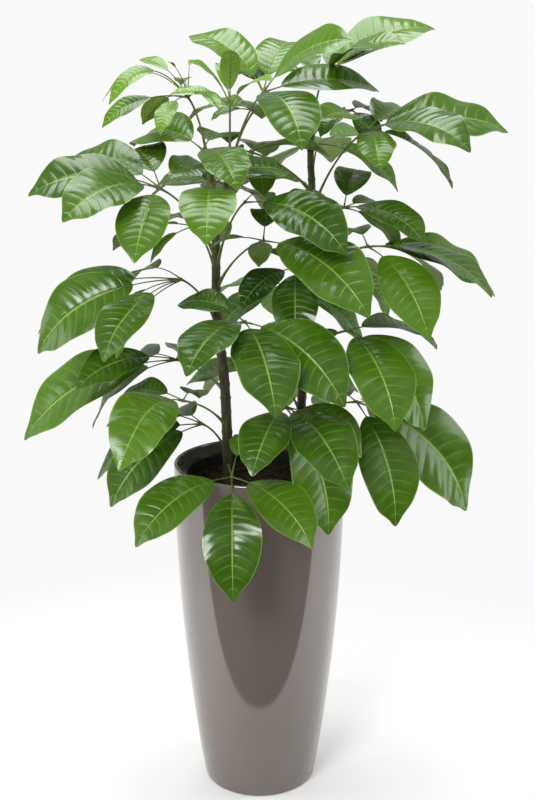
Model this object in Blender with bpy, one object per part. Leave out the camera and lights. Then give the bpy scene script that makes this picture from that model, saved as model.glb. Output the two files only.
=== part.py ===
"""Potted umbrella plant: two leafy stems in a tall round planter with a hanging liner.

Metres, +Z up.  The origin is the centre of the planter's underside, and the plant's front faces -Y.
"""

import math

import bmesh
import bpy
from mathutils import Vector

# Planter
HEIGHT = 0.80
RIM_RADIUS = 0.200
BASE_RADIUS = 0.134
BELLY = 1.03
WALL = 0.008
FLOOR = 0.012
LIP_ROUND = 0.004
LEDGE_HEIGHT = 0.772
LEDGE_RADIUS = 0.178
LEDGE_DEPTH = 0.030
PLANTER_SEGMENTS = 48
PLANTER_RINGS = 9

# Liner and soil
GAP = 0.0003
LINER_TOP_RADIUS = 0.174
LINER_FLOOR_RADIUS = 0.150
LINER_DEPTH = 0.330
LINER_WALL = 0.003
FLANGE_WIDTH = 0.012
DRAIN_HOLES = 5
DRAIN_RADIUS = 0.007
DRAIN_RING = 0.085
SOIL_HEIGHT = 0.752
SOIL_CROWN = 0.008
STEM_DEPTH = 0.06

# Leaflets
PETIOLE_RADIUS = 0.0022
PETIOLE_BASE_RADIUS = 0.0038
HUB_RADIUS = 0.0048
STALK_RADIUS = 0.0014
BLADE_THICKNESS = 0.0014
LEAFLET_ASPECT = 0.50
YOUNG_ASPECT = 0.34
ARCH = 0.12
FOLD = 0.16
BLADE_STATIONS = (0.0, 0.14, 0.38, 0.66, 0.88)

# Each stem runs through these points, and tapers between the two radii.
STEMS = {
    "stem_left": {
        "points": [(-0.070, -0.03, 0.75), (-0.078, -0.03, 0.98), (-0.095, -0.03, 1.15),
                   (-0.096, -0.03, 1.32), (-0.104, -0.03, 1.44), (-0.112, -0.03, 1.52)],
        "radii": (0.0125, 0.0075),
    },
    "stem_left_fork": {
        "points": [(-0.099, -0.03, 1.36), (-0.076, -0.02, 1.42), (-0.062, -0.02, 1.50)],
        "radii": (0.0075, 0.006),
    },
    "stem_right": {
        "points": [(0.088, 0.08, 0.75), (0.101, 0.08, 0.93), (0.114, 0.08, 1.17),
                   (0.121, 0.08, 1.40), (0.117, 0.08, 1.50), (0.122, 0.08, 1.60)],
        "radii": (0.0115, 0.0065),
    },
}

# One row per compound leaf: its stem, the height where its stalk leaves the stem, the point where its
# leaflets meet, the bare stalk of each leaflet, and the leaflets.  A leaflet is its heading in degrees
# (0 to the right, 90 to the back), its rise in degrees, its reach from hub to tip, how far its upper
# face leans forward (negative: backward) and, where it isn't the usual one, the height of its arch.
LEAVES = {
    # crown, left
    "leaf_young_left": ("stem_left", 1.50, (-0.15, -0.08, 1.63), 0.08, [
        (157, -1, 0.21, 0.8, 0.26), (-140, -3, 0.20, 0.6, 0.30), (139, 29, 0.17, 0.6),
        (-115, 42, 0.11, 0.3), (88, 48, 0.11, 0), (-155, -16, 0.20, 0.8), (126, -16, 0.20, -0.6),
        (-105, -20, 0.19, 0.5), (-65, -6, 0.17, 0.3), (98, 10, 0.18, 0.4)]),
    "leaf_young_centre": ("stem_left_fork", 1.49, (-0.06, -0.10, 1.615), 0.03, [
        (-140, 40, 0.14, 0.5), (-88, 54, 0.14, 0.3), (120, 55, 0.11, 0.3), (-50, 20, 0.15, 0.5),
        (-175, 10, 0.13, 0.5)]),
    "leaf_top": ("stem_left_fork", 1.47, (0.01, -0.05, 1.64), 0.04, [
        (140, 31, 0.25, 0.4), (-35, 26, 0.25, 0.8), (18, 2, 0.27, 0.5, 0.08), (107, 14, 0.19, 0.6),
        (-72, -22, 0.27, 0.3), (70, 32, 0.22, 0.4)]),
    "leaf_top_low": ("stem_left_fork", 1.44, (-0.01, 0.05, 1.60), 0.03, [
        (-170, -10, 0.10, 0.4), (85, -5, 0.18, 0.4), (140, -5, 0.20, 0.4)]),
    # crown, right
    "leaf_top_right": ("stem_right", 1.58, (0.14, 0.09, 1.66), 0.05, [
        (15, 25, 0.30, 0.5), (-28, 24, 0.22, 0.5), (-58, 22, 0.20, 0.5), (62, 30, 0.20, 0.4),
        (110, 16, 0.20, 0.4), (165, 10, 0.15, 0.4)]),
    "leaf_small_right": ("stem_right", 1.55, (0.21, 0.10, 1.60), 0.02, [
        (-65, -35, 0.13, 0.2), (128, -20, 0.14, 0.4), (60, -8, 0.16, 0.4), (-140, -30, 0.11, 0.3)]),
    "leaf_right_upper": ("stem_right", 1.38, (0.24, 0.00, 1.56), 0.04, [
        (12, 1, 0.33, 0.6, 0.07), (-42, -6, 0.27, 0.5), (25, -30, 0.26, 0.3), (58, 4, 0.26, 0.6),
        (-125, 8, 0.20, 0.6), (-85, -24, 0.18, 0.3)]),
    # upper left
    "leaf_left_apex": ("stem_left", 1.49, (-0.12, -0.08, 1.52), 0.04, [
        (130, 2, 0.26, 0.9), (75, 4, 0.20, 0.5), (-68, -16, 0.22, 0.4)]),
    "leaf_front_heart": ("stem_left", 1.41, (-0.10, -0.16, 1.45), 0.03, [
        (-90, -22, 0.24, 0), (25, 6, 0.20, 0.5)]),
    "leaf_left_upper": ("stem_left", 1.29, (-0.21, -0.11, 1.44), 0.05, [
        (-165, 0, 0.28, 0.7), (-130, -8, 0.28, 0.9), (150, 10, 0.27, 0.6), (-100, -30, 0.25, 0.2),
        (112, 18, 0.24, 0.7), (60, 12, 0.20, 0.7)]),
    "leaf_left_back": ("stem_left", 1.25, (-0.15, 0.08, 1.34), 0.04, [
        (155, -16, 0.23, -0.1), (118, -6, 0.24, 0.0), (78, -16, 0.22, 0.2), (-170, -38, 0.13, 0.2)]),
    # middle left
    "leaf_left_middle": ("stem_left", 1.14, (-0.17, -0.08, 1.24), 0.10, [
        (-174, -24, 0.35, 1.2), (166, -20, 0.37, 0.6), (150, -34, 0.27, 0.2), (-125, -26, 0.29, 0.3),
        (125, -8, 0.25, 0.5), (-152, -44, 0.22, 0.2)]),
    "leaf_left_low": ("stem_left", 0.98, (-0.19, 0.01, 1.04), 0.07, [
        (-178, -26, 0.40, 0.5), (-145, -6, 0.26, 0.6), (162, -38, 0.28, 0.3), (130, -18, 0.27, 0.5),
        (88, -10, 0.24, 0.6)]),
    "leaf_left_bright": ("stem_left", 0.90, (-0.17, -0.10, 0.97), 0.04, [
        (-118, -18, 0.27, 0.9, 0.2), (80, -10, 0.16, 0.5), (150, -4, 0.18, 0.5)]),
    # centre
    "leaf_centre": ("stem_left", 1.07, (-0.03, -0.16, 1.16), 0.04, [
        (-118, -14, 0.25, 0.2), (-74, -31, 0.28, 0), (-34, -29, 0.29, 0.9), (148, 8, 0.18, 0.6)]),
    "leaf_centre_dark": ("stem_right", 1.14, (0.08, -0.04, 1.26), 0.03, [
        (-90, -42, 0.21, 0.2), (-5, -30, 0.15, 0.5), (-140, -25, 0.17, 0.6), (110, 5, 0.18, 0.4)]),
    "leaf_centre_upper": ("stem_left", 1.27, (-0.03, -0.10, 1.41), 0.05, [
        (-38, -17, 0.28, 0.8), (72, -4, 0.17, 0.4)]),
    "leaf_centre_lower": ("stem_left", 1.22, (0.01, -0.12, 1.33), 0.04, [
        (-40, -24, 0.31, 0.7), (172, -8, 0.12, 0.1), (95, -30, 0.14, 0.2), (85, 18, 0.17, 0.5)]),
    "leaf_inner_upper": ("stem_right", 1.42, (-0.02, 0.03, 1.51), 0.03, [
        (5, -2, 0.18, -0.3), (-75, -34, 0.15, 0.3), (80, -4, 0.20, 0.3), (125, -14, 0.18, 0.3)]),
    # middle right
    "leaf_right_inner": ("stem_right", 1.31, (0.19, 0.00, 1.39), 0.03, [
        (75, 28, 0.17, 0.9), (-38, -15, 0.22, 0.3), (45, -10, 0.20, 0.2), (5, -36, 0.16, -0.4),
        (-172, 6, 0.15, 0.3)]),
    "leaf_right_middle": ("stem_right", 1.22, (0.24, -0.06, 1.31), 0.05, [
        (5, -20, 0.31, 0.4), (-28, -16, 0.30, 0.0), (-56, -38, 0.27, 0.9), (38, -26, 0.26, 0.3),
        (100, 4, 0.18, 0.6)]),
    "leaf_right_back": ("stem_right", 1.18, (0.20, 0.14, 1.25), 0.04, [
        (35, -34, 0.22, -0.3), (75, -20, 0.24, 0.2), (120, -10, 0.22, 0.4), (-15, -50, 0.17, 0.2)]),
    "leaf_right_glossy": ("stem_right", 1.03, (0.20, -0.10, 1.13), 0.03, [
        (-66, -38, 0.27, 0.3), (8, -52, 0.29, 0.9), (30, -14, 0.25, 0.2), (140, -40, 0.20, 0.5)]),
    "leaf_right_low": ("stem_right", 0.88, (0.225, -0.01, 0.945), 0.04, [
        (-54, -60, 0.29, 0.5), (2, -44, 0.37, 1.0), (60, -34, 0.26, 0.3), (110, -16, 0.22, 0.4)]),
    # low and front
    "leaf_front_right": ("stem_right", 0.86, (0.06, -0.12, 0.96), 0.03, [
        (-58, -26, 0.27, 0.7), (-112, -26, 0.22, 0.2), (-6, -32, 0.20, 0.9), (-42, -64, 0.29, 0.3)]),
    "leaf_front_low": ("stem_left", 0.80, (-0.06, -0.165, 0.812), 0.05, [
        (-88, -51, 0.275, 0, 0.2), (-138, -18, 0.28, 0.5), (-44, -22, 0.26, 0.4), (75, 30, 0.14, 0.3)]),
    "leaf_left_lowest": ("stem_left", 0.84, (-0.13, -0.04, 0.90), 0.05, [
        (165, -28, 0.30, 0.5), (-148, -32, 0.28, 0.5), (-176, 2, 0.22, 0.3), (120, -12, 0.24, 0.4)]),
    # back, away from the viewer
    "leaf_back_upper_left": ("stem_left", 1.33, (-0.06, 0.14, 1.42), 0.04, [
        (100, -12, 0.26, 0.3), (60, -24, 0.25, 0.3), (145, -5, 0.25, 0.4), (25, 2, 0.20, 0.3),
        (-172, 5, 0.18, 0.3)]),
    "leaf_back_upper_right": ("stem_right", 1.44, (0.14, 0.24, 1.52), 0.04, [
        (80, -12, 0.26, 0.3), (40, -4, 0.26, 0.3), (128, -28, 0.25, 0.3), (-8, -28, 0.22, 0.3)]),
    "leaf_back_middle": ("stem_right", 1.07, (0.07, 0.26, 1.17), 0.04, [
        (92, -28, 0.27, 0.3), (48, -16, 0.26, 0.3), (138, -12, 0.27, 0.3), (-2, -38, 0.24, 0.3),
        (-172, -34, 0.23, 0.3)]),
    "leaf_back_low": ("stem_right", 0.90, (0.03, 0.20, 0.97), 0.04, [
        (85, -36, 0.27, 0.3), (42, -24, 0.26, 0.3), (132, -20, 0.27, 0.3), (0, -12, 0.22, 0.3),
        (172, -10, 0.22, 0.3)]),
}

COLOURS = {
    "planter": ((0.16, 0.14, 0.13, 1), 0.12),
    "liner": ((0.02, 0.02, 0.02, 1), 0.5),
    "soil": ((0.035, 0.022, 0.015, 1), 0.95),
    "stem": ((0.16, 0.17, 0.05, 1), 0.6),
    "leaf": ((0.07, 0.22, 0.03, 1), 0.25),
    "young_leaf": ((0.20, 0.42, 0.07, 1), 0.25),
}


def clear_scene():
    for obj in list(bpy.data.objects):
        bpy.data.objects.remove(obj, do_unlink=True)


def make_material(name):
    colour, roughness = COLOURS[name]
    material = bpy.data.materials.new(name)
    material.use_nodes = True
    shader = material.node_tree.nodes["Principled BSDF"]
    shader.inputs["Base Color"].default_value = colour
    shader.inputs["Roughness"].default_value = roughness
    material.diffuse_color = colour
    return material


def make_object(name, bm, material=None, smooth_angle=40):
    """Turn a bmesh into an object in the scene; without a material it is a hidden guide."""
    bmesh.ops.recalc_face_normals(bm, faces=bm.faces)
    mesh = bpy.data.meshes.new(name)
    bm.to_mesh(mesh)
    bm.free()
    mesh.shade_smooth()
    mesh.set_sharp_from_angle(angle=math.radians(smooth_angle))
    obj = bpy.data.objects.new(name, mesh)
    bpy.context.scene.collection.objects.link(obj)
    if material:
        mesh.materials.append(material)
    else:
        obj.hide_render = True
        obj.display_type = "WIRE"
    return obj


def add_boolean(obj, other, operation, use_self=False):
    modifier = obj.modifiers.new(operation.lower(), "BOOLEAN")
    modifier.operation = operation
    modifier.solver = "EXACT"
    modifier.use_self = use_self
    modifier.object = other


def add_loft(bm, rings, tip=None):
    """Skin closed rings of equal length, capped at the start, and at the end by a cap or a point."""
    loops = [[bm.verts.new(point) for point in ring] for ring in rings]
    for lower, upper in zip(loops, loops[1:]):
        for i in range(len(lower)):
            j = (i + 1) % len(lower)
            bm.faces.new((lower[i], lower[j], upper[j], upper[i]))
    bm.faces.new(loops[0])
    if tip is None:
        bm.faces.new(loops[-1])
        return
    apex = bm.verts.new(tip)
    last = loops[-1]
    for i in range(len(last)):
        bm.faces.new((last[i], last[(i + 1) % len(last)], apex))


def turned(name, profile, segments, material=None):
    """Spin a closed profile of (radius, height) corners about the Z axis."""
    bm = bmesh.new()
    axis_points = [bm.verts.new((0, 0, z)) if r == 0 else None for r, z in profile]
    columns = []
    for step in range(segments):
        angle = 2 * math.pi * step / segments
        columns.append([
            axis_points[i] or bm.verts.new((r * math.cos(angle), r * math.sin(angle), z))
            for i, (r, z) in enumerate(profile)
        ])
    closed = profile[0][0] > 0
    edges = len(profile) if closed else len(profile) - 1
    for a, b in zip(columns, columns[1:] + columns[:1]):
        for i in range(edges):
            j = (i + 1) % len(profile)
            corners = [a[i], a[j], b[j], b[i]]
            bm.faces.new(list(dict.fromkeys(corners)))
    return make_object(name, bm, material)


def planter_radius(z):
    """Outer radius of the planter at height z: it swells quickly above the foot, then eases."""
    t = z / HEIGHT
    return BASE_RADIUS + (RIM_RADIUS - BASE_RADIUS) * (t + BELLY * t * (1 - t))


def build_planter():
    foot_round = 0.006
    levels = [foot_round + (HEIGHT - LIP_ROUND - foot_round) * i / PLANTER_RINGS
              for i in range(PLANTER_RINGS + 1)]
    outer = [(planter_radius(0) - foot_round, 0.0)] + [(planter_radius(z), z) for z in levels]
    lip = [(RIM_RADIUS - LIP_ROUND, HEIGHT), (RIM_RADIUS - WALL, HEIGHT - 0.001)]
    ledge = [(RIM_RADIUS - WALL - 0.002, LEDGE_HEIGHT), (LEDGE_RADIUS, LEDGE_HEIGHT),
             (LEDGE_RADIUS, LEDGE_HEIGHT - LEDGE_DEPTH / 3)]
    inner_levels = [z for z in reversed(levels) if FLOOR * 3 < z < LEDGE_HEIGHT - LEDGE_DEPTH]
    inner = [(planter_radius(z) - WALL, z) for z in inner_levels]
    floor = [(planter_radius(FLOOR) - WALL - 0.004, FLOOR)]
    profile = [(0, 0.0)] + outer + lip + ledge + inner + floor + [(0, FLOOR)]
    return turned("planter", profile, PLANTER_SEGMENTS, make_material("planter"))


def liner_profile(offset):
    """The bucket's wall and floor, moved inwards by offset: from the top edge to the axis."""
    top = LEDGE_HEIGHT + GAP
    bottom = top - LINER_DEPTH
    return [(LINER_TOP_RADIUS - offset, top), (LINER_FLOOR_RADIUS - offset, bottom + offset),
            (0, bottom + offset)]


def build_liner():
    wall_top, wall_foot, centre = liner_profile(0)
    inner_top, inner_foot, inner_centre = liner_profile(LINER_WALL)
    flange_top = wall_top[1] + LINER_WALL
    flange_radius = wall_top[0] + FLANGE_WIDTH
    profile = [centre, wall_foot, wall_top, (flange_radius, wall_top[1]), (flange_radius, flange_top),
               (inner_top[0], flange_top), inner_foot, inner_centre]
    liner = turned("liner", profile, 36, make_material("liner"))
    drill = bmesh.new()
    for i in range(DRAIN_HOLES):
        angle = 2 * math.pi * i / DRAIN_HOLES
        centre = Vector((DRAIN_RING * math.cos(angle), DRAIN_RING * math.sin(angle), wall_foot[1]))
        rings = [[centre + Vector((DRAIN_RADIUS * math.cos(a), DRAIN_RADIUS * math.sin(a), z))
                  for a in [math.pi * k / 5 for k in range(10)]] for z in (-0.01, 0.01)]
        add_loft(drill, rings)
    add_boolean(liner, make_object("liner_drill", drill), "DIFFERENCE")
    return liner


def build_soil(stem_guides):
    inner_top, inner_foot, centre = liner_profile(LINER_WALL + GAP)
    share = (SOIL_HEIGHT - inner_foot[1]) / (inner_top[1] - inner_foot[1])
    edge = inner_foot[0] + share * (inner_top[0] - inner_foot[0])
    profile = [centre, inner_foot, (edge, SOIL_HEIGHT), (edge * 0.6, SOIL_HEIGHT + SOIL_CROWN),
               (0, SOIL_HEIGHT + SOIL_CROWN)]
    soil = turned("soil", profile, 36, make_material("soil"))
    for guide in stem_guides:
        add_boolean(soil, guide, "DIFFERENCE")
    return soil


def smooth_path(points, steps):
    """A Catmull-Rom curve through the points, with the given steps in each span."""
    points = [Vector(p) for p in points]
    padded = [2 * points[0] - points[1], *points, 2 * points[-1] - points[-2]]
    path = []
    for a, b, c, d in zip(padded, padded[1:], padded[2:], padded[3:]):
        for k in range(steps):
            t = k / steps
            path.append(0.5 * (2 * b + (c - a) * t + (2 * a - 5 * b + 4 * c - d) * t ** 2
                               + (3 * b - a - 3 * c + d) * t ** 3))
    return path + [points[-1]]


def add_tube(bm, path, radii, sides, flat_start=None):
    """A tube along the path; flat_start gives the first ring's own direction."""
    rings = []
    side = None
    for i, point in enumerate(path):
        ahead = path[min(i + 1, len(path) - 1)]
        behind = path[max(i - 1, 0)]
        along = (ahead - behind).normalized()
        if i == 0 and flat_start:
            along = flat_start
        side = side - side.dot(along) * along if side else along.orthogonal()
        side.normalize()
        other = along.cross(side)
        rings.append([point + radii[i] * (math.cos(a) * side + math.sin(a) * other)
                      for a in [2 * math.pi * k / sides for k in range(sides)]])
    add_loft(bm, rings)


def stem_point(name, height):
    """The centre and radius of a stem at a height."""
    points = STEMS[name]["points"]
    for low, high in zip(points, points[1:]):
        if height <= high[2] or high is points[-1]:
            share = min(1.0, (height - low[2]) / (high[2] - low[2]))
            centre = Vector(low).lerp(Vector(high), share)
            break
    base, top = STEMS[name]["radii"]
    return centre, base + (top - base) * (height - points[0][2]) / (points[-1][2] - points[0][2])


def stem_mesh(name, grow=0.0):
    """A stem's skin, grown outwards all round by the given amount."""
    base, top = STEMS[name]["radii"]
    points = [Vector(p) for p in STEMS[name]["points"]]
    if points[0].z < SOIL_HEIGHT + SOIL_CROWN:
        points[0] -= Vector((0, 0, STEM_DEPTH + grow))
    path = smooth_path(points, 2)
    radii = [grow + base + (top - base) * i / (len(path) - 1) for i in range(len(path))]
    bm = bmesh.new()
    add_tube(bm, path, radii, 10)
    return bm


def build_stems():
    material = make_material("stem")
    left = make_object("stem_left", stem_mesh("stem_left"), material)
    add_boolean(left, make_object("fork_guide", stem_mesh("stem_left_fork")), "UNION")
    right = make_object("stem_right", stem_mesh("stem_right"), material)
    return [left, right]


def direction(heading, rise):
    heading, rise = math.radians(heading), math.radians(rise)
    return Vector((math.cos(rise) * math.cos(heading), math.cos(rise) * math.sin(heading), math.sin(rise)))


def blade_half_width(share):
    """Half width of a blade over its greatest half width, from its rounded base to its pointed tip."""
    return math.sin(math.pi * share ** 0.82) ** 0.72 * (1 - 0.15 * share)


def add_leaflet(bm, hub, stalk, aspect, heading, rise, reach, lean, arch=ARCH):
    """A leaflet on an arch from the hub to its tip: a thin stalk, then a blade with a thick midrib."""
    chord = direction(heading, rise)
    bow = direction(heading, rise + 90)
    across = chord.cross(Vector((0, -lean, 1))).normalized()
    upward = across.cross(chord)
    half_width = aspect * (reach - stalk) / 2

    def centre(share):
        return hub + reach * (chord * share + bow * 4 * arch * share * (1 - share))

    rings = []
    for share in (0.0, stalk / reach):
        rings.append([centre(share) + STALK_RADIUS * v for v in (-across, -upward, across, upward)])
    for station in BLADE_STATIONS[1:]:
        share = (stalk + (reach - stalk) * station) / reach
        width = half_width * blade_half_width(station)
        lift = FOLD * width
        thick = BLADE_THICKNESS / 2
        middle = centre(share)
        rings.append([middle - width * across + lift * upward, middle - thick * upward,
                      middle + width * across + lift * upward, middle + thick * upward])
    add_loft(bm, rings, centre(1.0))


def petiole_path(stem, height, hub):
    """From just outside the stem's skin, up and out in one bow to the hub."""
    centre, radius = stem_point(stem, height)
    outward = Vector((hub.x - centre.x, hub.y - centre.y, 0)).normalized()
    start = centre + outward * (radius + 0.0012)
    bend = start.lerp(hub, 0.4)
    bend.z = start.z + 0.75 * (hub.z - start.z)
    path = [(1 - t) ** 2 * start + 2 * t * (1 - t) * bend + t ** 2 * hub for t in (0, 0.2, 0.4, 0.6, 0.8, 1)]
    return path, outward


def build_leaf(name, material):
    stem, height, hub, stalk, leaflets = LEAVES[name]
    hub = Vector(hub)
    path, outward = petiole_path(stem, height, hub)
    petiole = bmesh.new()
    last = len(path) - 1
    radii = [PETIOLE_RADIUS + (PETIOLE_BASE_RADIUS - PETIOLE_RADIUS) * (1 - i / last) ** 2
             for i in range(len(path))]
    add_tube(petiole, path, radii, 6, flat_start=outward)
    leaf = make_object(name, petiole, material)
    crown = bmesh.new()
    bmesh.ops.create_icosphere(crown, subdivisions=1, radius=HUB_RADIUS)
    bmesh.ops.translate(crown, verts=crown.verts, vec=hub)
    aspect = YOUNG_ASPECT if "young" in name else LEAFLET_ASPECT
    for leaflet in leaflets:
        add_leaflet(crown, hub, stalk, aspect, *leaflet)
    add_boolean(leaf, make_object(name + "_crown_guide", crown), "UNION", use_self=True)
    return leaf


def main():
    clear_scene()
    build_planter()
    build_liner()
    build_stems()
    guides = [make_object(name + "_guide", stem_mesh(name, GAP)) for name in ("stem_left", "stem_right")]
    build_soil(guides)
    mature, young = make_material("leaf"), make_material("young_leaf")
    for name in LEAVES:
        build_leaf(name, young if "young" in name else mature)


main()
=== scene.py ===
"""Potted umbrella plant: glossy leaves, bark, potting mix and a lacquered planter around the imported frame.

Metres, +Z up.  The plant's front faces -Y.  STEMS and LEAVES repeat the frame's own layout.
"""

import math
import random

import bmesh
import bpy
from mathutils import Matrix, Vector, noise


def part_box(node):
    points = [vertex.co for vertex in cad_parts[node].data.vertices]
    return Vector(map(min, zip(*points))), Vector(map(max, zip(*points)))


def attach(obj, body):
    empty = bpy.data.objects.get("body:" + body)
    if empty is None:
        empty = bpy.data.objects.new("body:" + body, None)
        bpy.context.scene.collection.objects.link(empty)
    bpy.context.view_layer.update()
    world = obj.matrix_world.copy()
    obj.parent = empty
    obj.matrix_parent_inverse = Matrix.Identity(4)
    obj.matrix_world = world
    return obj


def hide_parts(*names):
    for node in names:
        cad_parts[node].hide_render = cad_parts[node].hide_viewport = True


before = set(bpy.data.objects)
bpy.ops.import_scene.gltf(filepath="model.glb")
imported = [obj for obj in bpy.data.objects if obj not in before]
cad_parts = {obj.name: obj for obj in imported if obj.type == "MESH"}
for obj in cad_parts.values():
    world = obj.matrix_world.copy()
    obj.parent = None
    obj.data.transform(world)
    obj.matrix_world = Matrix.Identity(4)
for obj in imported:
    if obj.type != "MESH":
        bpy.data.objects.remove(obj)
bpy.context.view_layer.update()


# Planter, liner and soil
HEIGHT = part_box("planter")[1][2]
RIM_RADIUS = 0.200
BASE_RADIUS = 0.134
BELLY = 1.03
WALL = 0.008
FLOOR = 0.012
FOOT_ROUND = 0.006
LIP_ROUND = 0.004
LEDGE_HEIGHT = 0.772
LEDGE_RADIUS = 0.178
LEDGE_DEPTH = 0.030
SOIL_HEIGHT = 0.752
SOIL_CROWN = 0.008
SOIL_EDGE_RADIUS = 0.169
SOIL_FOOT_RADIUS = 0.1465
SOIL_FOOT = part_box("soil")[0][2]
SOIL_ROUGHNESS = 0.0028
CHIPS = 420
CHIP_LENGTH = (0.004, 0.011)
CHIP_ASPECT = (0.35, 0.7)
CHIP_HALF_DEPTH = (0.0008, 0.0022)
CHIP_TILT = 18

# Stems
STEM_DEPTH = 0.06
STEM_SIDES = 14
SCAR_SPACING = (0.022, 0.048)
SCAR_SWELL = (0.08, 0.18)
SCAR_WIDTH = 0.0028

# Stage: in reflections, the pale floor ends at PAPER_EDGE and a dark room begins
PAPER_EDGE = -0.46
FLOOR_CORNERS = [(-5, -5, 0), (5, -5, 0), (5, 6, 0), (-5, 6, 0)]
FLOOR_DROP = 0.0008
FLOOR_FADE = (0.45, 1.5)
FLOOR_LIFT = 0.17
BACKDROP_LEVEL = 0.955
ROOM_LEVEL = 0.42
DARK_ROOM_LEVEL = 0.02
CAMERA_PLACE = (0.018, -2.82, 1.65)
CAMERA_TILT = 76
CAMERA_LENS = 56.4

# Each softbox: its place, the point it faces, its width and height, and its power in watts.
SOFTBOXES = {
    "top_light": ((-0.4, 1.4, 6.6), (0, 0, 1.0), (3.6, 3.6), 215),
    "front_light": ((-2.0, -4.6, 4.6), (0, 0, 1.0), (2.0, 2.0), 190),
    "left_light": ((-3.0, -0.4, 1.5), (0, 0, 0.9), (1.2, 2.8), 27),
    "right_light": ((3.0, -0.2, 1.6), (0, 0, 0.9), (1.2, 2.8), 34),
}

# Leaflets
LEAFLET_ASPECT = 0.57
YOUNG_ASPECT = 0.40
ARCH = 0.12
FOLD = 0.20
VEINS = 11
VEIN_SWEEP = 0.13
BLADE_ROWS = 48
BLADE_COLUMNS = 7
BLADE_THICKNESS = 0.0007
QUILT = 0.020
STALK_RADIUS = 0.0022
STALK_BASE_SWELL = 0.0034
STALK_TOP_SWELL = 0.0012
STALK_SIDES = 9
MIDRIB_RADIUS = 0.0017
MIDRIB_ROOT_RADIUS = 0.0023
MIDRIB_REACH = 0.93
MIDRIB_DROP = 0.0006
MIDRIB_SIDES = 7

# Each stem runs through these points, and tapers between the two radii.
STEMS = {
    "stem_left": {
        "points": [(-0.070, -0.03, 0.75), (-0.078, -0.03, 0.98), (-0.095, -0.03, 1.15),
                   (-0.096, -0.03, 1.32), (-0.104, -0.03, 1.44), (-0.112, -0.03, 1.52)],
        "radii": (0.0125, 0.0075),
    },
    "stem_left_fork": {
        "points": [(-0.099, -0.03, 1.36), (-0.076, -0.02, 1.42), (-0.062, -0.02, 1.50)],
        "radii": (0.0075, 0.006),
    },
    "stem_right": {
        "points": [(0.088, 0.08, 0.75), (0.101, 0.08, 0.93), (0.114, 0.08, 1.17),
                   (0.121, 0.08, 1.40), (0.117, 0.08, 1.50), (0.122, 0.08, 1.60)],
        "radii": (0.0115, 0.0065),
    },
}

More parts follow.
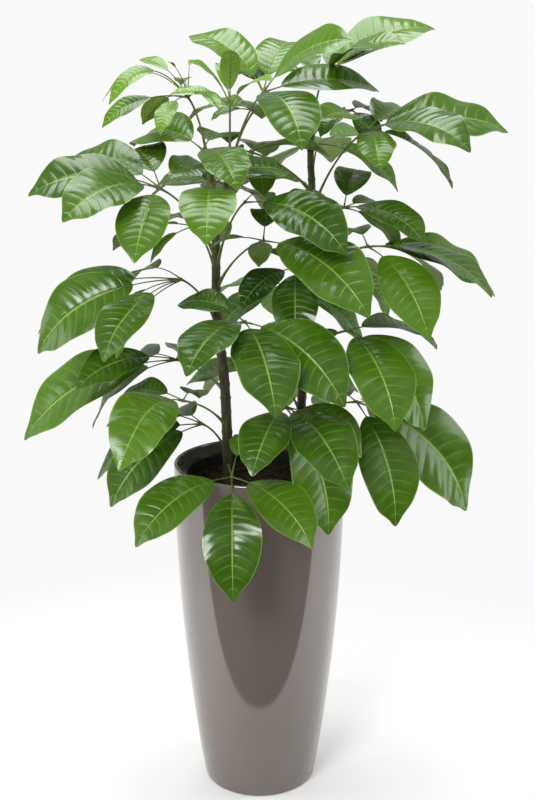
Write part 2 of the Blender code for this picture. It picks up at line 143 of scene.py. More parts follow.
# One row per compound leaf: its stem, the height where its stalk leaves the stem, the point where its
# leaflets meet, the bare stalk of each leaflet, and the leaflets.  A leaflet is its heading in degrees
# (0 to the right, 90 to the back), its rise in degrees, its reach from hub to tip, how far its upper
# face leans forward (negative: backward) and, where it isn't the usual one, the height of its arch.
LEAVES = {
    # crown, left
    "leaf_young_left": ("stem_left", 1.50, (-0.15, -0.08, 1.63), 0.08, [
        (157, -1, 0.21, 0.8, 0.26), (-140, -3, 0.20, 0.6, 0.30), (139, 29, 0.17, 0.6),
        (-115, 42, 0.11, 0.3), (88, 48, 0.11, 0), (-155, -16, 0.20, 0.8), (126, -16, 0.20, -0.6),
        (-105, -20, 0.19, 0.5), (-65, -6, 0.17, 0.3), (98, 10, 0.18, 0.4)]),
    "leaf_young_centre": ("stem_left_fork", 1.49, (-0.06, -0.10, 1.615), 0.03, [
        (-140, 40, 0.14, 0.5), (-88, 54, 0.14, 0.3), (120, 55, 0.11, 0.3), (-50, 20, 0.15, 0.5),
        (-175, 10, 0.13, 0.5)]),
    "leaf_top": ("stem_left_fork", 1.47, (0.01, -0.05, 1.64), 0.04, [
        (140, 31, 0.25, 0.4), (-35, 26, 0.25, 0.8), (18, 2, 0.27, 0.5, 0.08), (107, 14, 0.19, 0.6),
        (-72, -22, 0.27, 0.3), (70, 32, 0.22, 0.4)]),
    "leaf_top_low": ("stem_left_fork", 1.44, (-0.01, 0.05, 1.60), 0.03, [
        (-170, -10, 0.10, 0.4), (85, -5, 0.18, 0.4), (140, -5, 0.20, 0.4)]),
    # crown, right
    "leaf_top_right": ("stem_right", 1.58, (0.14, 0.09, 1.66), 0.05, [
        (15, 25, 0.30, 0.5), (-28, 24, 0.22, 0.5), (-58, 22, 0.20, 0.5), (62, 30, 0.20, 0.4),
        (110, 16, 0.20, 0.4), (165, 10, 0.15, 0.4)]),
    "leaf_small_right": ("stem_right", 1.55, (0.21, 0.10, 1.60), 0.02, [
        (-65, -35, 0.13, 0.2), (128, -20, 0.14, 0.4), (60, -8, 0.16, 0.4), (-140, -30, 0.11, 0.3)]),
    "leaf_right_upper": ("stem_right", 1.38, (0.24, 0.00, 1.56), 0.04, [
        (12, 1, 0.33, 0.6, 0.07), (-42, -6, 0.27, 0.5), (25, -30, 0.26, 0.3), (58, 4, 0.26, 0.6),
        (-125, 8, 0.20, 0.6), (-85, -24, 0.18, 0.3)]),
    # upper left
    "leaf_left_apex": ("stem_left", 1.49, (-0.12, -0.08, 1.52), 0.04, [
        (130, 2, 0.26, 0.9), (75, 4, 0.20, 0.5), (-68, -16, 0.22, 0.4)]),
    "leaf_front_heart": ("stem_left", 1.41, (-0.10, -0.16, 1.45), 0.03, [
        (-90, -22, 0.24, 0), (25, 6, 0.20, 0.5)]),
    "leaf_left_upper": ("stem_left", 1.29, (-0.21, -0.11, 1.44), 0.05, [
        (-165, 0, 0.28, 0.7), (-130, -8, 0.28, 0.9), (150, 10, 0.27, 0.6), (-100, -30, 0.25, 0.2),
        (112, 18, 0.24, 0.7), (60, 12, 0.20, 0.7)]),
    "leaf_left_back": ("stem_left", 1.25, (-0.15, 0.08, 1.34), 0.04, [
        (155, -16, 0.23, -0.1), (118, -6, 0.24, 0.0), (78, -16, 0.22, 0.2), (-170, -38, 0.13, 0.2)]),
    # middle left
    "leaf_left_middle": ("stem_left", 1.14, (-0.17, -0.08, 1.24), 0.10, [
        (-174, -24, 0.35, 1.2), (166, -20, 0.37, 0.6), (150, -34, 0.27, 0.2), (-125, -26, 0.29, 0.3),
        (125, -8, 0.25, 0.5), (-152, -44, 0.22, 0.2)]),
    "leaf_left_low": ("stem_left", 0.98, (-0.19, 0.01, 1.04), 0.07, [
        (-178, -26, 0.40, 0.5), (-145, -6, 0.26, 0.6), (162, -38, 0.28, 0.3), (130, -18, 0.27, 0.5),
        (88, -10, 0.24, 0.6)]),
    "leaf_left_bright": ("stem_left", 0.90, (-0.17, -0.10, 0.97), 0.04, [
        (-118, -18, 0.27, 0.9, 0.2), (80, -10, 0.16, 0.5), (150, -4, 0.18, 0.5)]),
    # centre
    "leaf_centre": ("stem_left", 1.07, (-0.03, -0.16, 1.16), 0.04, [
        (-118, -14, 0.25, 0.2), (-74, -31, 0.28, 0), (-34, -29, 0.29, 0.9), (148, 8, 0.18, 0.6)]),
    "leaf_centre_dark": ("stem_right", 1.14, (0.08, -0.04, 1.26), 0.03, [
        (-90, -42, 0.21, 0.2), (-5, -30, 0.15, 0.5), (-140, -25, 0.17, 0.6), (110, 5, 0.18, 0.4)]),
    "leaf_centre_upper": ("stem_left", 1.27, (-0.03, -0.10, 1.41), 0.05, [
        (-38, -17, 0.28, 0.8), (72, -4, 0.17, 0.4)]),
    "leaf_centre_lower": ("stem_left", 1.22, (0.01, -0.12, 1.33), 0.04, [
        (-40, -24, 0.31, 0.7), (172, -8, 0.12, 0.1), (95, -30, 0.14, 0.2), (85, 18, 0.17, 0.5)]),
    "leaf_inner_upper": ("stem_right", 1.42, (-0.02, 0.03, 1.51), 0.03, [
        (5, -2, 0.18, -0.3), (-75, -34, 0.15, 0.3), (80, -4, 0.20, 0.3), (125, -14, 0.18, 0.3)]),
    # middle right
    "leaf_right_inner": ("stem_right", 1.31, (0.19, 0.00, 1.39), 0.03, [
        (75, 28, 0.17, 0.9), (-38, -15, 0.22, 0.3), (45, -10, 0.20, 0.2), (5, -36, 0.16, -0.4),
        (-172, 6, 0.15, 0.3)]),
    "leaf_right_middle": ("stem_right", 1.22, (0.24, -0.06, 1.31), 0.05, [
        (5, -20, 0.31, 0.4), (-28, -16, 0.30, 0.0), (-56, -38, 0.27, 0.9), (38, -26, 0.26, 0.3),
        (100, 4, 0.18, 0.6)]),
    "leaf_right_back": ("stem_right", 1.18, (0.20, 0.14, 1.25), 0.04, [
        (35, -34, 0.22, -0.3), (75, -20, 0.24, 0.2), (120, -10, 0.22, 0.4), (-15, -50, 0.17, 0.2)]),
    "leaf_right_glossy": ("stem_right", 1.03, (0.20, -0.10, 1.13), 0.03, [
        (-66, -38, 0.27, 0.3), (8, -52, 0.29, 0.9), (30, -14, 0.25, 0.2), (140, -40, 0.20, 0.5)]),
    "leaf_right_low": ("stem_right", 0.88, (0.225, -0.01, 0.945), 0.04, [
        (-54, -60, 0.29, 0.5), (2, -44, 0.37, 1.0), (60, -34, 0.26, 0.3), (110, -16, 0.22, 0.4)]),
    # low and front
    "leaf_front_right": ("stem_right", 0.86, (0.06, -0.12, 0.96), 0.03, [
        (-58, -26, 0.27, 0.7), (-112, -26, 0.22, 0.2), (-6, -32, 0.20, 0.9), (-42, -64, 0.29, 0.3)]),
    "leaf_front_low": ("stem_left", 0.80, (-0.06, -0.165, 0.812), 0.05, [
        (-88, -51, 0.275, 0, 0.2), (-138, -18, 0.28, 0.5), (-44, -22, 0.26, 0.4), (75, 30, 0.14, 0.3)]),
    "leaf_left_lowest": ("stem_left", 0.84, (-0.13, -0.04, 0.90), 0.05, [
        (165, -28, 0.30, 0.5), (-148, -32, 0.28, 0.5), (-176, 2, 0.22, 0.3), (120, -12, 0.24, 0.4)]),
    # back, away from the viewer
    "leaf_back_upper_left": ("stem_left", 1.33, (-0.06, 0.14, 1.42), 0.04, [
        (100, -12, 0.26, 0.3), (60, -24, 0.25, 0.3), (145, -5, 0.25, 0.4), (25, 2, 0.20, 0.3),
        (-172, 5, 0.18, 0.3)]),
    "leaf_back_upper_right": ("stem_right", 1.44, (0.14, 0.24, 1.52), 0.04, [
        (80, -12, 0.26, 0.3), (40, -4, 0.26, 0.3), (128, -28, 0.25, 0.3), (-8, -28, 0.22, 0.3)]),
    "leaf_back_middle": ("stem_right", 1.07, (0.07, 0.26, 1.17), 0.04, [
        (92, -28, 0.27, 0.3), (48, -16, 0.26, 0.3), (138, -12, 0.27, 0.3), (-2, -38, 0.24, 0.3),
        (-172, -34, 0.23, 0.3)]),
    "leaf_back_low": ("stem_right", 0.90, (0.03, 0.20, 0.97), 0.04, [
        (85, -36, 0.27, 0.3), (42, -24, 0.26, 0.3), (132, -20, 0.27, 0.3), (0, -12, 0.22, 0.3),
        (172, -10, 0.22, 0.3)]),
}

# How fresh each leaf's green is, from 0 for the oldest, darkest leaves to 1 for the newest, plus painted
# light: lighter for leaves that catch light, such as those lit from behind near the top, and darker for
# leaves in the shade inside the crown.
FRESHNESS_AND_PAINTED_LIGHT = {
    "leaf_young_left": 0.70, "leaf_young_centre": 0.85, "leaf_top": 0.45, "leaf_top_low": 0.45,
    "leaf_top_right": 0.5, "leaf_small_right": 0.3, "leaf_right_upper": 0.38, "leaf_left_apex": 0.38,
    "leaf_front_heart": 0.35, "leaf_left_upper": 0.35, "leaf_left_back": 0.3, "leaf_left_bright": 0.5,
    "leaf_centre_upper": 0.3, "leaf_centre_lower": 0.3, "leaf_centre_dark": 0.05, "leaf_left_low": 0.3,
    "leaf_left_middle": 0.3, "leaf_front_low": 0.38, "leaf_left_lowest": 0.22,
}
# The usual value on the same scale of freshness and painted light.
USUAL_FRESHNESS_AND_PAINTED_LIGHT = 0.36


# Materials

class Graph:
    """A Principled material, with short calls for the nodes that feed it."""

    def __init__(self, name, roughness, specular=0.5):
        self.material = bpy.data.materials.new(name)
        self.material.use_nodes = True
        self.tree = self.material.node_tree
        self.shader = self.tree.nodes["Principled BSDF"]
        self.shader.inputs["Roughness"].default_value = roughness
        self.shader.inputs["Specular IOR Level"].default_value = specular

    def node(self, kind, inputs=None, **settings):
        node = self.tree.nodes.new(kind)
        for key, value in settings.items():
            setattr(node, key, value)
        for key, value in (inputs or {}).items():
            self.feed(node.inputs[key], value)
        return node

    def feed(self, socket, value):
        if isinstance(value, bpy.types.NodeSocket):
            self.tree.links.new(value, socket)
        else:
            socket.default_value = value

    def maths(self, operation, a, b=0.0, c=0.0, clamp=False):
        node = self.node("ShaderNodeMath", {0: a, 1: b, 2: c}, operation=operation, use_clamp=clamp)
        return node.outputs[0]

    def smooth(self, value, low, high, to_low=0.0, to_high=1.0):
        inputs = {"Value": value, "From Min": low, "From Max": high, "To Min": to_low, "To Max": to_high}
        return self.node("ShaderNodeMapRange", inputs, interpolation_type="SMOOTHSTEP").outputs[0]

    def mix(self, share, a, b, blend="MIX"):
        node = self.node("ShaderNodeMix", data_type="RGBA", blend_type=blend)
        for socket, value in zip([node.inputs[i] for i in (0, 6, 7)], (share, a, b)):
            self.feed(socket, value)
        return node.outputs[2]

    def position(self):
        return self.node("ShaderNodeTexCoord").outputs["Object"]

    def noise(self, scale, detail=3.0, place=None):
        inputs = {"Vector": place or self.position(), "Scale": scale, "Detail": detail}
        return self.node("ShaderNodeTexNoise", inputs).outputs["Fac"]

    def bump(self, height, distance, strength=1.0, normal=None):
        inputs = {"Height": height, "Distance": distance, "Strength": strength}
        if normal:
            inputs["Normal"] = normal
        return self.node("ShaderNodeBump", inputs).outputs["Normal"]

    def finish(self, colour=None, roughness=None, normal=None):
        for name, value in (("Base Color", colour), ("Roughness", roughness), ("Normal", normal)):
            if value is not None:
                self.feed(self.shader.inputs[name], value)
        return self.material


def rgb(red, green, blue):
    return (red, green, blue, 1.0)


def leaf_material(name, upper, dark, fresh_and_lit_green, vein):
    """A leaf's skin: the UV map holds the place across (0 to 1) and along the blade."""
    g = Graph(name, 0.3, 0.5 if upper else 0.3)
    uv = g.node("ShaderNodeSeparateXYZ", {0: g.node("ShaderNodeTexCoord").outputs["UV"]})
    across = g.maths("ABSOLUTE", g.maths("MULTIPLY_ADD", uv.outputs[0], 2.0, -1.0))
    along = uv.outputs[1]
    phase = g.maths("FRACT", g.maths("MULTIPLY_ADD", along, float(VEINS), 0.5))
    from_vein = g.maths("ABSOLUTE", g.maths("ADD", phase, -0.5))
    lateral = g.smooth(from_vein, 0.03, 0.13, 1.0, 0.0)
    lateral = g.maths("MULTIPLY", lateral, g.smooth(across, 0.35, 0.95, 1.0, 0.1))
    midrib = g.smooth(across, 0.012, 0.045, 1.0, 0.0)
    margin = g.smooth(across, 0.955, 0.985)
    shade = g.node("ShaderNodeAttribute", attribute_name="shade").outputs["Fac"]
    mottle = g.noise(26.0, 4.0)
    fine = g.noise(240.0, 3.0)
    # shade blends each leaf from dark to light green: its freshness plus painted light, lighter where a leaf
    # catches light and darker where it lies in shade.
    blade = g.mix(shade, dark, fresh_and_lit_green)
    blade = g.mix(g.maths("MULTIPLY", g.smooth(mottle, 0.35, 0.7), 0.35), blade,
                  g.mix(0.5, blade, fresh_and_lit_green))
    blade = g.mix(g.maths("MULTIPLY", fine, 0.25), blade, g.mix(0.5, blade, dark))
    blade = g.mix(g.maths("MULTIPLY", lateral, 0.17), blade, vein)
    blade = g.mix(g.maths("MULTIPLY", midrib, 0.85), blade, vein)
    blade = g.mix(g.maths("MULTIPLY", margin, 0.40), blade, vein)
    roughness = g.smooth(mottle, 0.3, 0.7, 0.14 if upper else 0.42, 0.27 if upper else 0.55)
    relief = g.maths("ADD", g.maths("MULTIPLY", lateral, -0.6 if upper else 0.8),
                     g.maths("MULTIPLY", midrib, -1.0 if upper else 1.0))
    normal = g.bump(fine, 0.0003, 0.35)
    return g.finish(blade, roughness, g.bump(relief, 0.0012, 0.55, normal))


def stalk_material():
    g = Graph("leaf_stalk", 0.38)
    shade = g.node("ShaderNodeAttribute", attribute_name="shade").outputs["Fac"]
    streak = g.smooth(g.noise(90.0, 4.0), 0.35, 0.65)
    # The stalk's green follows its leaf's shade value, which is freshness plus painted light.
    green = g.mix(shade, rgb(0.075, 0.105, 0.022), rgb(0.22, 0.30, 0.05))
    colour = g.mix(g.maths("MULTIPLY", streak, 0.45), green, rgb(0.10, 0.062, 0.022))
    return g.finish(colour, normal=g.bump(g.noise(500.0), 0.0003, 0.4))


def bark_material():
    g = Graph("stem_bark", 0.5)
    place = g.position()
    height = g.node("ShaderNodeSeparateXYZ", {0: place}).outputs[2]
    stretched = g.node("ShaderNodeMapping", {"Vector": place, "Scale": (1.0, 1.0, 0.22)}).outputs[0]
    streak = g.smooth(g.noise(160.0, 5.0, stretched), 0.38, 0.66)
    patches = g.smooth(g.noise(22.0, 3.0), 0.42, 0.62)
    brown = g.mix(streak, rgb(0.036, 0.029, 0.014), rgb(0.072, 0.062, 0.031))
    green = g.mix(streak, rgb(0.042, 0.058, 0.014), rgb(0.095, 0.122, 0.030))
    young = g.maths("ADD", g.smooth(height, 1.05, 1.45), g.maths("MULTIPLY", patches, 0.35), clamp=True)
    scar = g.node("ShaderNodeAttribute", attribute_name="scar").outputs["Fac"]
    colour = g.mix(scar, g.mix(young, brown, green), rgb(0.05, 0.035, 0.018))
    relief = g.bump(streak, 0.0006, 0.5)
    grain = g.bump(g.noise(420.0, 4.0), 0.0005, 0.4, relief)
    return g.finish(colour, g.smooth(streak, 0, 1, 0.42, 0.62), grain)


def lacquer_material():
    g = Graph("planter_lacquer", 0.06, 1.0)
    tone = g.noise(3.0, 2.0)
    smudge = g.noise(14.0, 5.0)
    colour = g.mix(tone, rgb(0.148, 0.119, 0.103), rgb(0.160, 0.129, 0.112))
    g.shader.inputs["Coat Weight"].default_value = 0.8
    g.shader.inputs["Coat Roughness"].default_value = 0.03
    ripple = g.bump(g.noise(60.0, 2.0), 0.0004, 0.04)
    return g.finish(colour, g.smooth(smudge, 0.35, 0.75, 0.05, 0.10), ripple)


def liner_material():
    g = Graph("liner_plastic", 0.5)
    speck = g.noise(700.0, 2.0)
    colour = g.mix(speck, rgb(0.006, 0.006, 0.006), rgb(0.016, 0.016, 0.015))
    return g.finish(colour, g.smooth(g.noise(30.0), 0.3, 0.7, 0.42, 0.6), g.bump(speck, 0.0003, 0.5))


def soil_material():
    g = Graph("potting_mix", 0.95, 0.2)
    crumb = g.noise(330.0, 6.0)
    damp = g.smooth(g.noise(24.0, 3.0), 0.4, 0.65)
    earth = g.mix(g.smooth(crumb, 0.3, 0.7), rgb(0.008, 0.006, 0.004), rgb(0.034, 0.023, 0.015))
    colour = g.mix(g.maths("MULTIPLY", damp, 0.5), earth, rgb(0.018, 0.012, 0.008))
    return g.finish(colour, normal=g.bump(crumb, 0.003, 0.9))


def chip_material():
    g = Graph("bark_chips", 0.85, 0.25)
    shade = g.node("ShaderNodeAttribute", attribute_name="shade").outputs["Fac"]
    grain = g.noise(260.0, 5.0)
    base = g.mix(shade, rgb(0.030, 0.017, 0.009), rgb(0.135, 0.075, 0.036))
    colour = g.mix(g.smooth(grain, 0.35, 0.7), base, rgb(0.028, 0.018, 0.011))
    return g.finish(colour, normal=g.bump(grain, 0.0012, 0.8))


# Geometry

def direction(heading, rise):
    heading, rise = math.radians(heading), math.radians(rise)
    return Vector((math.cos(rise) * math.cos(heading), math.cos(rise) * math.sin(heading), math.sin(rise)))


def eased(value, low, high):
    t = min(1.0, max(0.0, (value - low) / (high - low)))
    return t * t * (3 - 2 * t)


def smooth_path(points, steps):
    """A Catmull-Rom curve through the points, with the given steps in each span."""
    points = [Vector(p) for p in points]
    padded = [2 * points[0] - points[1], *points, 2 * points[-1] - points[-2]]
    path = []
    for a, b, c, d in zip(padded, padded[1:], padded[2:], padded[3:]):
        for k in range(steps):
            t = k / steps
            path.append(0.5 * (2 * b + (c - a) * t + (2 * a - 5 * b + 4 * c - d) * t ** 2
                               + (3 * b - a - 3 * c + d) * t ** 3))
    return path + [points[-1]]


def add_tube(bm, path, radii, sides, slot=0):
    """A closed tube along the path, its section carried along without turning."""
    rings = []
    side = None
    for i, point in enumerate(path):
        along = (path[min(i + 1, len(path) - 1)] - path[max(i - 1, 0)]).normalized()
        side = side - side.dot(along) * along if side else along.orthogonal()
        side.normalize()
        other = along.cross(side)
        rings.append([bm.verts.new(point + radii[i] * (math.cos(a) * side + math.sin(a) * other))
                      for a in [2 * math.pi * k / sides for k in range(sides)]])
    faces = [bm.faces.new(list(reversed(rings[0]))), bm.faces.new(rings[-1])]
    for lower, upper in zip(rings, rings[1:]):
        for i in range(sides):
            j = (i + 1) % sides
            faces.append(bm.faces.new((lower[i], lower[j], upper[j], upper[i])))
    for face in faces:
        face.material_index = slot
    return [vert for ring in rings for vert in ring]


def make_piece(name, bm, materials, node, sharp=55):
    bmesh.ops.recalc_face_normals(bm, faces=bm.faces)
    mesh = bpy.data.meshes.new(name)
    bm.to_mesh(mesh)
    bm.free()
    mesh.shade_smooth()
    mesh.set_sharp_from_angle(angle=math.radians(sharp))
    for material in materials:
        mesh.materials.append(material)
    piece = bpy.data.objects.new(name, mesh)
    bpy.context.scene.collection.objects.link(piece)
    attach(piece, "root")
    if node:
        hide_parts(node)
    return piece


def blade_width(share):
    """Half width over the greatest half width: a rounded base, and a tip drawn out to a point."""
    body = max(0.0, math.sin(math.pi * share ** 1.06)) ** 0.64
    return body * (1 - 0.34 * eased(share, 0.86, 0.97))


def add_leaflet(bm, shade, uv, hub, stalk, aspect, freshness_and_painted_light, rng, heading, rise, reach, lean, arch=ARCH):
    """A leaflet on an arch from the hub to its tip: bare stalk, folded and quilted blade, and midrib."""
    chord = direction(heading, rise)
    bow = direction(heading, rise + 90)
    across = chord.cross(Vector((0, -lean, 1))).normalized()
    upward = across.cross(chord)
    half_width = aspect * (reach - stalk) / 2
    # The leaflet's green: the leaf's freshness and painted light, with a random spread.
    tint = min(1.0, max(0.0, freshness_and_painted_light + rng.uniform(-0.20, 0.17)))
    waves = rng.uniform(1.4, 2.6)
    phases = [rng.uniform(0, 2 * math.pi) for _ in range(2)]
    ruffle = rng.uniform(0.05, 0.11) * half_width
    bend = rng.uniform(-0.05, 0.05) * reach
    hook = rng.uniform(0.02, 0.05) * reach
    quilt = QUILT * half_width

    def centre(share):
        beyond = max(0.0, (share * reach - stalk) / (reach - stalk))
        return (hub + reach * (chord * share + bow * 4 * arch * share * (1 - share))
                + across * bend * beyond ** 2 * (1 - beyond) * 2 - Vector((0, 0, hook * beyond ** 7)))

    def on_blade(u, t):
        swept = u + VEIN_SWEEP * math.sin(math.pi * u)
        s = u + (swept - u) * abs(t) ** 1.5
        width = half_width * blade_width(swept)
        lateral = t * width
        lift = FOLD * abs(lateral) * (1.35 - 0.75 * abs(t))
        lift += ruffle * t * t * math.sin(2 * math.pi * waves * u + phases[t > 0]) * math.sin(math.pi * u)
        between_veins = math.cos(2 * math.pi * VEINS * u) * abs(t) ** 0.5 * (1 - t * t)
        lift -= quilt * between_veins * math.sin(math.pi * u)
        return centre((stalk + (reach - stalk) * s) / reach) + lateral * across + lift * upward

    columns = range(-BLADE_COLUMNS, BLADE_COLUMNS + 1)
    top, bottom = [], []
    for i in range(BLADE_ROWS + 1):
        u = i / BLADE_ROWS
        if i in (0, BLADE_ROWS):
            point = bm.verts.new(on_blade(u, 0.0))
            top.append({j: point for j in columns})
            bottom.append(top[-1])
            continue
        top.append({j: bm.verts.new(on_blade(u, j / BLADE_COLUMNS)) for j in columns})
        under = {}
        for j, vert in top[-1].items():
            on_margin = abs(j) == BLADE_COLUMNS
            under[j] = vert if on_margin else bm.verts.new(vert.co - BLADE_THICKNESS * upward)
        bottom.append(under)
    for sheet, slot in ((top, 0), (bottom, 1)):
        for i in range(BLADE_ROWS):
            for j in range(-BLADE_COLUMNS, BLADE_COLUMNS):
                corners = [(i, j), (i, j + 1), (i + 1, j + 1), (i + 1, j)]
                if i == 0:
                    corners = corners[1:]
                if i == BLADE_ROWS - 1:
                    corners = corners[:-1]
                if slot:
                    corners.reverse()
                face = bm.faces.new([sheet[row][column] for row, column in corners])
                face.material_index = slot
                for loop, (row, column) in zip(face.loops, corners):
                    edge = column / BLADE_COLUMNS
                    if row in (0, BLADE_ROWS):
                        edge = (j + 0.5) / BLADE_COLUMNS
                    loop[uv].uv = (0.5 + 0.5 * edge, row / BLADE_ROWS)
    for row in top + bottom:
        for vert in set(row.values()):
            vert[shade] = tint
    steps = 22
    path = [centre(MIDRIB_REACH * k / steps) - MIDRIB_DROP * upward for k in range(steps + 1)]
    radii = [MIDRIB_RADIUS * (1 - 0.80 * k / steps) for k in range(steps + 1)]
    radii[0] = radii[1] = MIDRIB_ROOT_RADIUS
    for vert in add_tube(bm, path, radii, MIDRIB_SIDES, 2):
        vert[shade] = tint


def stem_point(name, height):
    """The centre and radius of a stem at a height."""
    points = STEMS[name]["points"]
    for low, high in zip(points, points[1:]):
        if height <= high[2] or high is points[-1]:
            share = min(1.0, (height - low[2]) / (high[2] - low[2]))
            centre = Vector(low).lerp(Vector(high), share)
            break
    base, top = STEMS[name]["radii"]
    return centre, base + (top - base) * (height - points[0][2]) / (points[-1][2] - points[0][2])


def build_leaf(name, materials, rng):
    stem, height, hub, stalk, leaflets = LEAVES[name]
    hub = Vector(hub)
    young = "young" in name
    # Each leaf's freshness with its painted light: a lighter green where it catches light, a darker one where
    # it lies in shade.
    freshness_and_painted_light = FRESHNESS_AND_PAINTED_LIGHT.get(name, USUAL_FRESHNESS_AND_PAINTED_LIGHT)
    bm = bmesh.new()
    shade = bm.verts.layers.float.new("shade")
    uv = bm.loops.layers.uv.new("UVMap")
    centre, radius = stem_point(stem, height)
    outward = Vector((hub.x - centre.x, hub.y - centre.y, 0)).normalized()
    start = centre + outward * radius * 0.55
    bend = start.lerp(hub, 0.4)
    bend.z = start.z + 0.75 * (hub.z - start.z)
    steps = 26
    path = [(1 - t) ** 2 * start + 2 * t * (1 - t) * bend + t ** 2 * hub
            for t in [k / steps for k in range(steps + 1)]]
    radii = [STALK_RADIUS + STALK_BASE_SWELL * (1 - k / steps) ** 6 + STALK_TOP_SWELL * (k / steps) ** 14
             for k in range(steps + 1)]
    ahead = (path[-1] - path[-2]).normalized()
    path += [hub + ahead * 0.002, hub + ahead * 0.0045]
    radii += [0.0046, 0.0018]
    for vert in add_tube(bm, path, radii, STALK_SIDES, 2):
        vert[shade] = freshness_and_painted_light
    for leaflet in leaflets:
        aspect = (YOUNG_ASPECT if young else LEAFLET_ASPECT) * rng.uniform(0.95, 1.06)
        add_leaflet(bm, shade, uv, hub, stalk, aspect, freshness_and_painted_light, rng, *leaflet)
    make_piece(name + "_foliage", bm, materials, name)


def build_stem(name, branches, material, rng):
    """A stem's bark with its branches, ringed by the scars of fallen leaves."""
    bm = bmesh.new()
    scar = bm.verts.layers.float.new("scar")
    for branch in branches:
        base, top = STEMS[branch]["radii"]
        points = [Vector(p) for p in STEMS[branch]["points"]]
        if points[0].z < SOIL_HEIGHT + SOIL_CROWN:
            points[0].z -= STEM_DEPTH
        path = smooth_path(points, 48)
        height = path[0].z
        scars = []
        while height < path[-1].z:
            height += rng.uniform(*SCAR_SPACING)
            scars.append((height, rng.uniform(*SCAR_SWELL)))
        radii, marks = [], []
        for i, point in enumerate(path):
            ring = sum(swell * math.exp(-((point.z - z) / SCAR_WIDTH) ** 2) for z, swell in scars)
            bumpy = 1 + 0.05 * noise.noise(point * 24)
            radii.append((base + (top - base) * i / (len(path) - 1)) * (bumpy + ring))
            marks.append(min(1.0, ring * 5))
        for i, vert in enumerate(add_tube(bm, path, radii, STEM_SIDES)):
            vert[scar] = marks[i // STEM_SIDES]
    make_piece(name + "_bark", bm, [material], name)


def planter_radius(z):
    """Outer radius of the planter at height z: it swells quickly above the foot, then eases."""
    t = z / HEIGHT
    return BASE_RADIUS + (RIM_RADIUS - BASE_RADIUS) * (t + BELLY * t * (1 - t))


def turned(profile, segments):
    bm = bmesh.new()
    axis_points = [bm.verts.new((0, 0, z)) if r == 0 else None for r, z in profile]
    columns = []
    for step in range(segments):
        angle = 2 * math.pi * step / segments
        columns.append([axis_points[i] or bm.verts.new((r * math.cos(angle), r * math.sin(angle), z))
                        for i, (r, z) in enumerate(profile)])
    for a, b in zip(columns, columns[1:] + columns[:1]):
        for i in range(len(profile) - 1):
            corners = [a[i], a[i + 1], b[i + 1], b[i]]
            bm.faces.new(list(dict.fromkeys(corners)))
    return bm


def arc(centre_r, centre_z, radius, start, end, steps):
    return [(centre_r + radius * math.cos(math.radians(start + (end - start) * k / steps)),
             centre_z + radius * math.sin(math.radians(start + (end - start) * k / steps)))
            for k in range(steps + 1)]


def build_planter(material):
    """One turned shell with a rounded foot and lip, and the ledge that the liner hangs on."""
    foot = arc(planter_radius(0) - FOOT_ROUND, FOOT_ROUND, FOOT_ROUND, -90, -8, 6)
    levels = [FOOT_ROUND + (HEIGHT - LIP_ROUND - FOOT_ROUND) * k / 56 for k in range(1, 56)]
    outer = [(planter_radius(z), z) for z in levels]
    lip = arc(RIM_RADIUS - LIP_ROUND, HEIGHT - LIP_ROUND, LIP_ROUND, 4, 176, 12)
    ledge = [(RIM_RADIUS - WALL - 0.0002, HEIGHT - 0.008), (RIM_RADIUS - WALL - 0.0018, LEDGE_HEIGHT + 0.002),
             (RIM_RADIUS - WALL - 0.0035, LEDGE_HEIGHT), (LEDGE_RADIUS + 0.001, LEDGE_HEIGHT),
             (LEDGE_RADIUS, LEDGE_HEIGHT - 0.001), (LEDGE_RADIUS, LEDGE_HEIGHT - LEDGE_DEPTH / 3)]
    inner = [(planter_radius(z) - WALL, z) for z in reversed(levels[3:])
             if z < LEDGE_HEIGHT - LEDGE_DEPTH]
    floor = [(planter_radius(FLOOR) - WALL - 0.004, FLOOR)]
    bm = turned([(0, 0.0)] + foot + outer + lip + ledge + inner + floor + [(0, FLOOR)], 144)
    make_piece("planter_shell", bm, [material], "planter", sharp=35)


def soil_surface(x, y):
    r = math.hypot(x, y) / SOIL_EDGE_RADIUS
    rough = noise.noise(Vector((x, y, 0)) * 38) + 0.6 * noise.noise(Vector((x, y, 3)) * 95)
    return SOIL_HEIGHT + SOIL_CROWN * (1 - r * r) + SOIL_ROUGHNESS * rough * (1 - r ** 8)


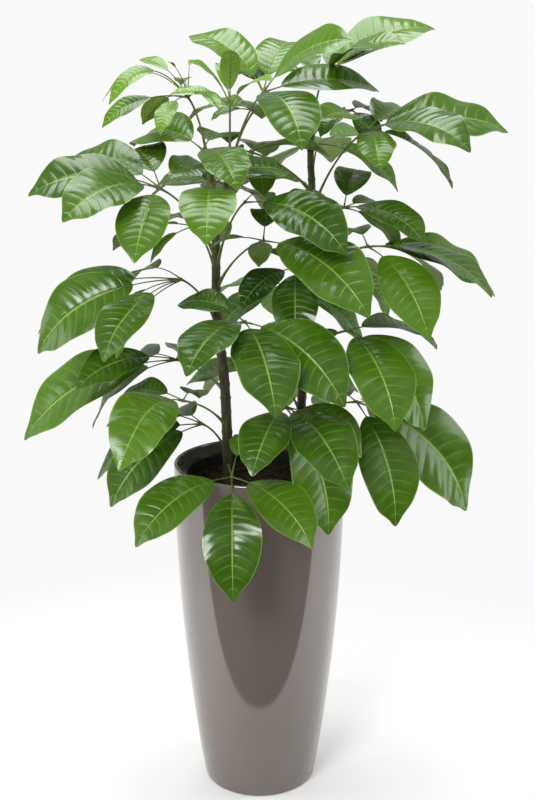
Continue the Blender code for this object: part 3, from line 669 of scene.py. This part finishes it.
def build_soil(material, chip, rng):
    """A rough crowned surface that fills the liner, with loose chips of bark on it."""
    bm = bmesh.new()
    rings, segments = 44, 96
    angles = [2 * math.pi * n / segments for n in range(segments)]
    rows = []
    for k in range(1, rings + 1):
        r = SOIL_EDGE_RADIUS * k / rings
        places = [(r * math.cos(a), r * math.sin(a)) for a in angles]
        rows.append([bm.verts.new((x, y, soil_surface(x, y))) for x, y in places])
    rows.append([bm.verts.new((SOIL_FOOT_RADIUS * math.cos(a), SOIL_FOOT_RADIUS * math.sin(a), SOIL_FOOT))
                 for a in angles])
    middle = bm.verts.new((0, 0, soil_surface(0, 0)))
    for n in range(segments):
        bm.faces.new((middle, rows[0][n], rows[0][(n + 1) % segments]))
    for inner, outer in zip(rows, rows[1:]):
        for n in range(segments):
            m = (n + 1) % segments
            bm.faces.new((inner[n], outer[n], outer[m], inner[m]))
    bm.faces.new(list(reversed(rows[-1])))
    make_piece("potting_soil", bm, [material], "soil")

    bm = bmesh.new()
    shade = bm.verts.layers.float.new("shade")
    for _ in range(CHIPS):
        r, a = (SOIL_EDGE_RADIUS - 0.010) * math.sqrt(rng.random()), rng.uniform(0, 2 * math.pi)
        place = Vector((r * math.cos(a), r * math.sin(a), 0))
        place.z = soil_surface(place.x, place.y) + 0.001
        long = direction(rng.uniform(0, 360), rng.uniform(-CHIP_TILT, CHIP_TILT)) * rng.uniform(*CHIP_LENGTH)
        wide = long.cross(Vector((0, 0, 1))).normalized() * long.length * rng.uniform(*CHIP_ASPECT)
        deep = long.cross(wide).normalized() * rng.uniform(*CHIP_HALF_DEPTH)
        corners = []
        for sx, sy, sz in [(x, y, z) for z in (-1, 1) for x, y in ((-1, -1), (1, -1), (1, 1), (-1, 1))]:
            jitter = rng.uniform(0.65, 1.15)
            corners.append(bm.verts.new(place + jitter * (sx * long * 0.5 + sy * wide * 0.5) + sz * deep))
        tone = rng.random()
        for vert in corners:
            vert[shade] = tone
        for quad in ((3, 2, 1, 0), (4, 5, 6, 7), (0, 1, 5, 4), (1, 2, 6, 5), (2, 3, 7, 6), (3, 0, 4, 7)):
            bm.faces.new([corners[q] for q in quad])
    make_piece("bark_chips", bm, [chip], None, sharp=25)


# Stage

def build_floor():
    """A pale floor that keeps the shadow near the planter and fades out further away."""
    bm = bmesh.new()
    bm.faces.new([bm.verts.new(corner) for corner in FLOOR_CORNERS])
    mesh = bpy.data.meshes.new("floor")
    bm.to_mesh(mesh)
    bm.free()
    floor = bpy.data.objects.new("floor", mesh)
    floor.location.z = -FLOOR_DROP
    bpy.context.scene.collection.objects.link(floor)
    g = Graph("floor", 0.6, 0.2)
    place = g.node("ShaderNodeSeparateXYZ", {0: g.position()})
    far = g.maths("SQRT", g.maths("ADD", g.maths("POWER", place.outputs[0], 2.0),
                                  g.maths("POWER", place.outputs[1], 2.0)))
    path = g.node("ShaderNodeLightPath")
    camera = path.outputs["Is Camera Ray"]
    clear = g.maths("MULTIPLY", g.smooth(far, *FLOOR_FADE), camera)
    beyond = g.smooth(place.outputs[1], PAPER_EDGE + 0.02, PAPER_EDGE - 0.02)
    unlit = g.maths("MULTIPLY", beyond, path.outputs["Is Glossy Ray"])
    g.finish(g.mix(unlit, rgb(0.86, 0.86, 0.86), rgb(0.03, 0.03, 0.03)))
    strength = g.maths("MULTIPLY", camera, FLOOR_LIFT)
    lift = g.node("ShaderNodeEmission", {"Color": rgb(1, 1, 1), "Strength": strength})
    lit = g.node("ShaderNodeAddShader", {0: g.shader.outputs[0], 1: lift.outputs[0]})
    nothing = g.node("ShaderNodeBsdfTransparent")
    mixed = g.node("ShaderNodeMixShader", {0: clear, 1: lit.outputs[0], 2: nothing.outputs[0]})
    g.tree.links.new(mixed.outputs[0], g.tree.nodes["Material Output"].inputs[0])
    floor.data.materials.append(g.material)


def build_world():
    """White to the camera; a soft pale room for light and gloss, dark low down behind the viewer."""
    world = bpy.data.worlds.new("studio")
    bpy.context.scene.world = world
    world.use_nodes = True
    tree = world.node_tree
    tree.nodes.clear()

    def node(kind, inputs=None, **settings):
        made = tree.nodes.new(kind)
        for key, value in settings.items():
            setattr(made, key, value)
        for key, value in (inputs or {}).items():
            if isinstance(value, bpy.types.NodeSocket):
                tree.links.new(value, made.inputs[key])
            else:
                made.inputs[key].default_value = value
        return made

    way = node("ShaderNodeSeparateXYZ", {0: node("ShaderNodeTexCoord").outputs["Generated"]})

    def ramp(value, low, high):
        inputs = {"Value": value, "From Min": low, "From Max": high}
        return node("ShaderNodeMapRange", inputs, interpolation_type="SMOOTHSTEP").outputs[0]

    behind = ramp(way.outputs[1], -0.25, -0.60)
    low = ramp(way.outputs[2], 0.35, 0.0)
    dark = node("ShaderNodeMath", {0: behind, 1: low}, operation="MULTIPLY").outputs[0]
    levels = {"Value": dark, "To Min": ROOM_LEVEL, "To Max": DARK_ROOM_LEVEL}
    level = node("ShaderNodeMapRange", levels).outputs[0]
    room = node("ShaderNodeBackground", {"Color": rgb(1, 1, 1), "Strength": level})
    backdrop = rgb(BACKDROP_LEVEL, BACKDROP_LEVEL, BACKDROP_LEVEL)
    seen = node("ShaderNodeBackground", {"Color": backdrop, "Strength": 1.0})
    camera = node("ShaderNodeLightPath").outputs["Is Camera Ray"]
    mixed = node("ShaderNodeMixShader", {0: camera, 1: room.outputs[0], 2: seen.outputs[0]})
    output = node("ShaderNodeOutputWorld")
    tree.links.new(mixed.outputs[0], output.inputs[0])


def add_softbox(name, place, target, size, power):
    light = bpy.data.lights.new(name, "AREA")
    light.shape = "RECTANGLE"
    light.size, light.size_y = size
    light.energy = power
    lamp = bpy.data.objects.new(name, light)
    lamp.location = place
    lamp.visible_camera = False
    lamp.rotation_euler = (Vector(target) - Vector(place)).to_track_quat("-Z", "Y").to_euler()
    bpy.context.scene.collection.objects.link(lamp)


def build_camera():
    """Level with the upper leaves, in front and looking a little down."""
    data = bpy.data.cameras.new("camera")
    data.lens = CAMERA_LENS
    camera = bpy.data.objects.new("camera", data)
    camera.location = CAMERA_PLACE
    camera.rotation_euler = (math.radians(CAMERA_TILT), 0, 0)
    bpy.context.scene.collection.objects.link(camera)
    bpy.context.scene.camera = camera


def main():
    build_camera()
    bpy.context.scene.view_settings.view_transform = "Standard"
    build_world()
    build_floor()
    for name, settings in SOFTBOXES.items():
        add_softbox(name, *settings)

    # Dark and light greens: old to fresh leaves, and also leaves in painted shade to leaves with painted
    # light.
    dark, fresh_and_lit_green = rgb(0.014, 0.058, 0.003), rgb(0.170, 0.370, 0.016)
    pale = rgb(0.36, 0.55, 0.08)
    upper = leaf_material("leaf_upper", True, dark, fresh_and_lit_green, pale)
    under = leaf_material("leaf_under", False, rgb(0.085, 0.150, 0.030), rgb(0.27, 0.42, 0.07), pale)
    stalk = stalk_material()
    rng = random.Random(11)
    for name in LEAVES:
        build_leaf(name, [upper, under, stalk], rng)
    bark = bark_material()
    build_stem("stem_left", ["stem_left", "stem_left_fork"], bark, rng)
    build_stem("stem_right", ["stem_right"], bark, rng)
    build_planter(lacquer_material())
    build_soil(soil_material(), chip_material(), rng)
    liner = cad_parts["liner"]
    liner.data.materials.clear()
    liner.data.materials.append(liner_material())


main()
